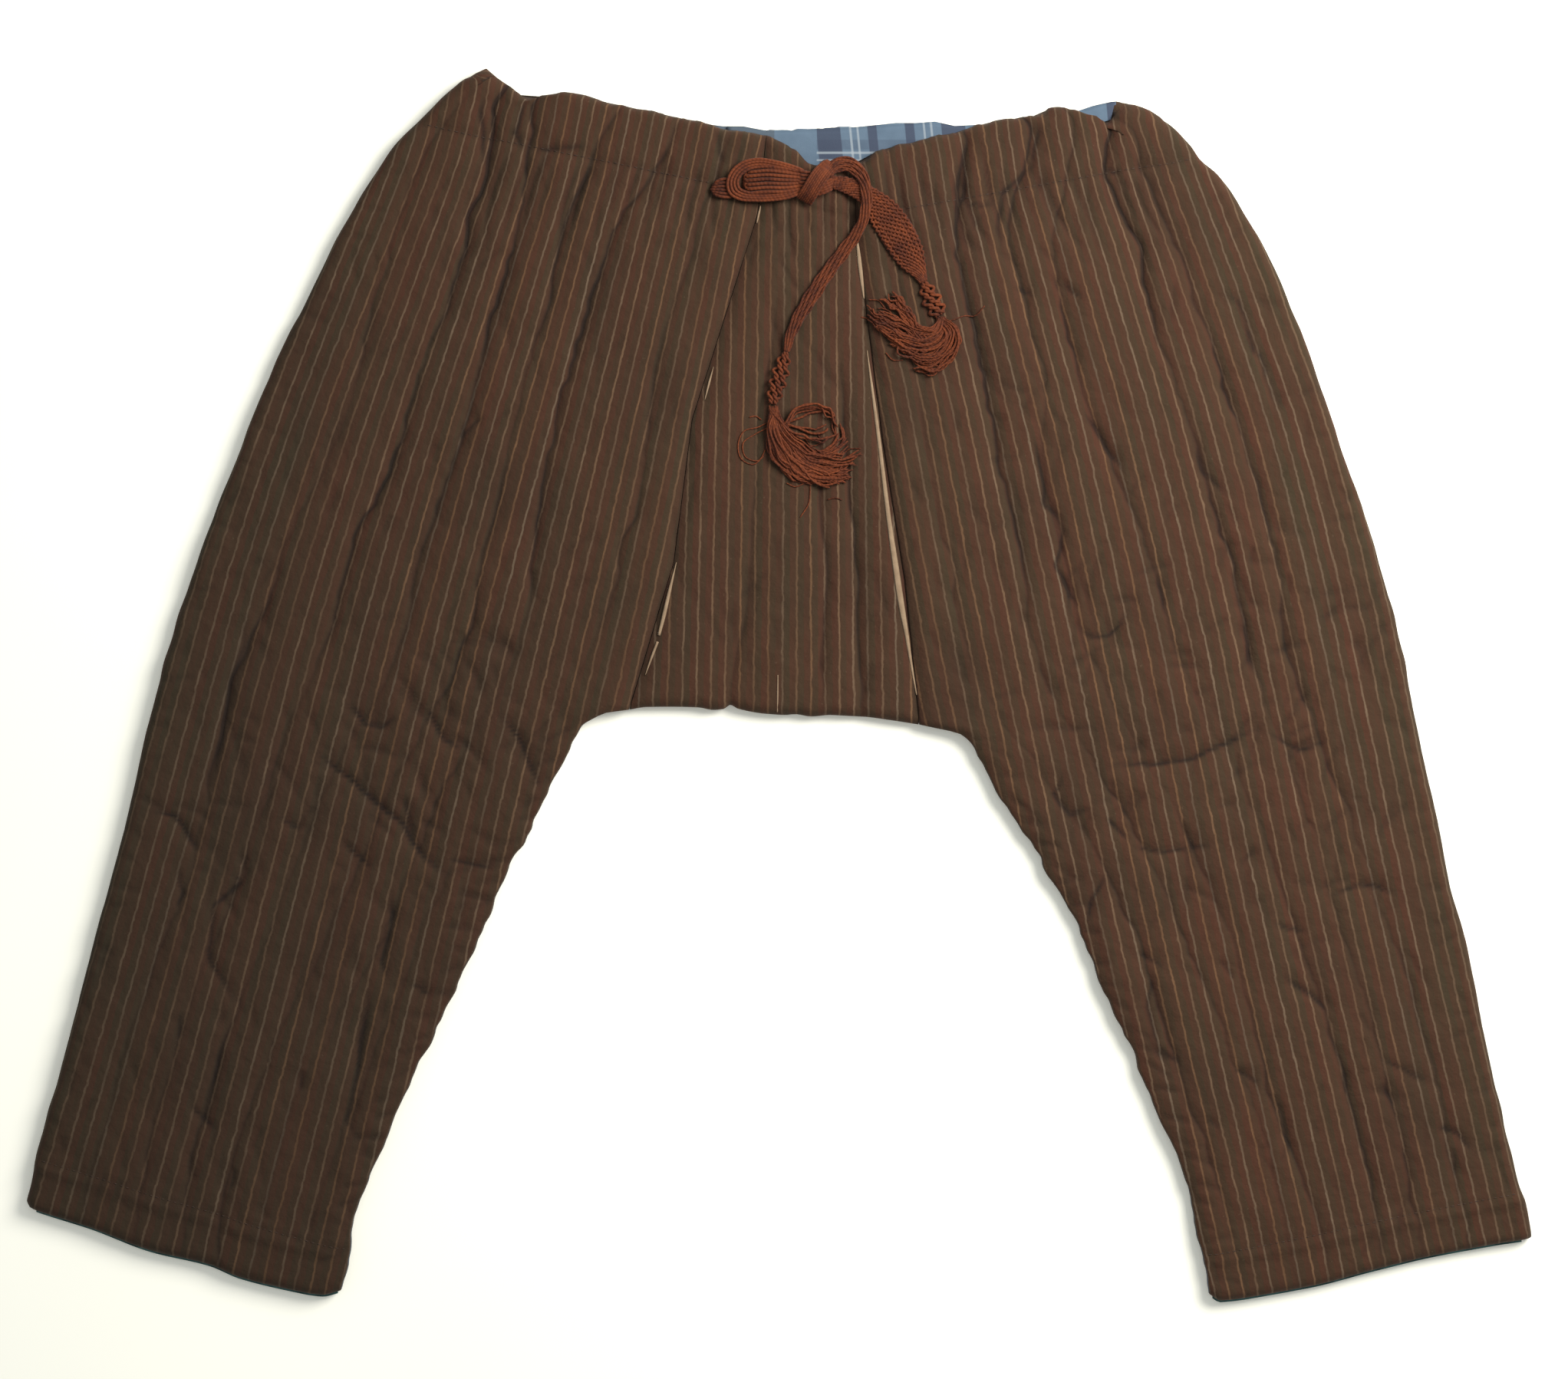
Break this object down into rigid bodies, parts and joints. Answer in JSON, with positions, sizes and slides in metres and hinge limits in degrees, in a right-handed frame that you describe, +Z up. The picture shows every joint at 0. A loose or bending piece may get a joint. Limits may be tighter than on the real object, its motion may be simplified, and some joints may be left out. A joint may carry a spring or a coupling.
{
  "type": "padded drawstring trousers",
  "caption": "Low-crotch padded trousers laid flat: striped wadded legs, a crotch gusset, a blue lining at waist and hems, and a flat drawstring in a half bow.",
  "frame": {"origin": "on the surface the trousers lie on, at the middle of the outline's width and length", "axes": "+X towards the garment's right-hand side as seen, +Y towards the waist, +Z up from the surface through the front"},
  "size_m": [1.218, 1, 0.0293],
  "materials": {
    "striped_cotton": "matt brown cotton with fine light stripes, worn soft",
    "blue_lining": "matt light blue cotton with a navy and white check",
    "rust_braid": "rust brown wool braid with a slight sheen"
  },
  "bodies": {
    "root": {"leg_left": "striped_cotton", "leg_right": "striped_cotton", "gusset": "striped_cotton", "lining_waist": "blue_lining", "lining_hem_left": "blue_lining", "lining_hem_right": "blue_lining", "drawstring_knot": "rust_braid", "drawstring_loop": "rust_braid", "drawstring_loop_end": "rust_braid", "drawstring_tail_left": "rust_braid", "drawstring_tail_right": "rust_braid", "drawstring_net_left": "rust_braid", "drawstring_net_right": "rust_braid", "tassel_left": "rust_braid", "tassel_right": "rust_braid"}
  },
  "joints": []
}
